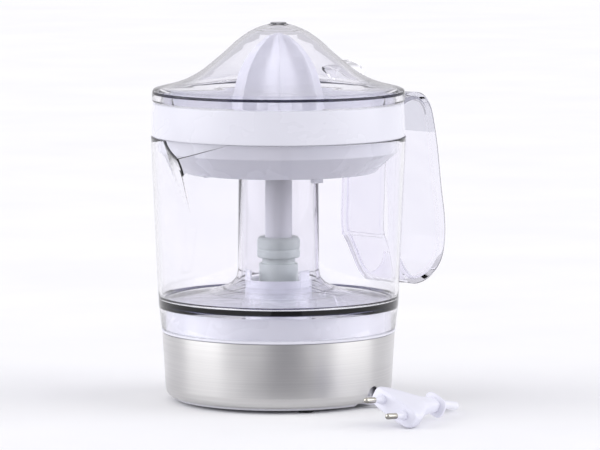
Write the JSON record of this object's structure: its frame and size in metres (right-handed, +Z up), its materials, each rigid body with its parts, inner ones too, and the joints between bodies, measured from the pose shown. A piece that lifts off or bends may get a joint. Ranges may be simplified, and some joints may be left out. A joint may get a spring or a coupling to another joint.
{
  "type": "citrus press juicer",
  "caption": "Electric citrus press: steel-banded motor base, clear jug with spout and handle, white collector, ribbed reaming cone and clear dust lid.",
  "frame": {"origin": "on the drive axis, in the flat underside of the base plate; the feet stand 2 mm below it", "axes": "+Z up along the drive axis, +X towards the jug's handle, -X towards the spout"},
  "size_m": [0.2383, 0.2369, 0.2437],
  "materials": {
    "brushed_stainless": "brushed round the base",
    "white_abs": "moulded gloss white",
    "pale_abs": "moulded satin",
    "clear_plastic": "clear, faint lilac tint",
    "grey_green_plastic": "moulded satin",
    "black_rubber": "moulded matte",
    "plated_steel": "zinc plated",
    "nylon": "natural moulded nylon",
    "bronze": "sintered bronze",
    "copper_winding": "enamelled wire",
    "switch_black": "moulded phenolic",
    "cord_pvc": "soft white pvc",
    "nickel_pin": "nickel plated"
  },
  "bodies": {
    "root": {"steel_sleeve": "brushed_stainless", "base_housing": "white_abs", "base_plate": "pale_abs", "foot_1": "black_rubber", "foot_2": "black_rubber", "foot_3": "black_rubber", "plate_screw_1": "plated_steel", "plate_screw_2": "plated_steel", "plate_screw_3": "plated_steel", "motor_can": "plated_steel", "motor_cover": "plated_steel", "motor_screw_1": "plated_steel", "motor_screw_2": "plated_steel", "stator_coil": "copper_winding", "idler_pin": "plated_steel", "lower_bush": "bronze", "upper_bush": "bronze", "shaft_seal": "black_rubber", "return_spring": "plated_steel", "start_switch": "switch_black", "cord_clamp": "nylon", "mains_cord": "cord_pvc", "mains_cord_coil": "cord_pvc", "plug_body": "cord_pvc", "plug_pin_1": "nickel_pin", "plug_pin_2": "nickel_pin"},
    "press_plate": {"thrust_plate": "nylon"},
    "output": {"output_shaft": "plated_steel", "output_gear": "nylon"},
    "idler": {"idler_gear": "nylon"},
    "rotor": {"motor_rotor": "plated_steel", "motor_pinion": "nylon"},
    "plunger": {"switch_plunger": "white_abs"},
    "jug": {"jug_body": "clear_plastic", "jug_handle": "clear_plastic"},
    "collector": {"juice_collector": "white_abs"},
    "sieve": {"sieve_insert": "white_abs"},
    "bush": {"hub_bush": "nylon"},
    "washer": {"press_washer": "nylon"},
    "reamer": {"drive_spindle": "grey_green_plastic", "cone": "white_abs"},
    "lid": {"lid": "clear_plastic"}
  },
  "joints": [
    {"name": "start_press", "type": "slide", "parent": "root", "child": "press_plate", "axis": [0, 0, -1], "range_m": [0, 0.0025], "stiffness_N_per_m": 3000, "springref_m": -0.003, "deforming": ["return_spring"]},
    {"name": "shaft_spin", "type": "hinge", "parent": "press_plate", "child": "output", "pos_m": [0, 0, 0.05], "axis": [0, 0, 1], "continuous": true},
    {"name": "idler_spin", "type": "hinge", "parent": "root", "child": "idler", "pos_m": [-0.0262, 0.0151, 0.05], "axis": [0, 0, 1], "continuous": true},
    {"name": "rotor_spin", "type": "hinge", "parent": "root", "child": "rotor", "pos_m": [-0.0412, 0.0003, 0.03], "axis": [0, 0, 1], "continuous": true},
    {"name": "plunger_press", "type": "slide", "parent": "root", "child": "plunger", "axis": [0, 0, -1], "range_m": [0, 0.001]},
    {"name": "jug_lift", "type": "slide", "parent": "root", "child": "jug", "axis": [0, 0, 1], "range_m": [0, 0.07]},
    {"name": "collector_lift", "type": "slide", "parent": "jug", "child": "collector", "axis": [0, 0, 1], "range_m": [0, 0.08]},
    {"name": "sieve_lift", "type": "slide", "parent": "collector", "child": "sieve", "axis": [0, 0, 1], "range_m": [0, 0.1]},
    {"name": "cone_lift", "type": "slide", "parent": "sieve", "child": "bush", "axis": [0, 0, 1], "range_m": [0, 0.085]},
    {"name": "cone_press", "type": "slide", "parent": "bush", "child": "washer", "axis": [0, 0, -1], "range_m": [0, 0.0025]},
    {"name": "cone_spin", "type": "hinge", "parent": "washer", "child": "reamer", "pos_m": [0, 0, 0.15], "axis": [0, 0, 1], "continuous": true},
    {"name": "lid_lift", "type": "slide", "parent": "bush", "child": "lid", "axis": [0, 0, 1], "range_m": [0, 0.06]}
  ],
  "couplings": [
    {"joint": "idler_spin", "follows": "rotor_spin", "ratio": -0.3125},
    {"joint": "shaft_spin", "follows": "rotor_spin", "ratio": 0.10417},
    {"joint": "cone_spin", "follows": "rotor_spin", "ratio": 0.10417},
    {"joint": "plunger_press", "follows": "start_press", "ratio": 0.4},
    {"joint": "cone_press", "follows": "start_press", "ratio": 1}
  ]
}
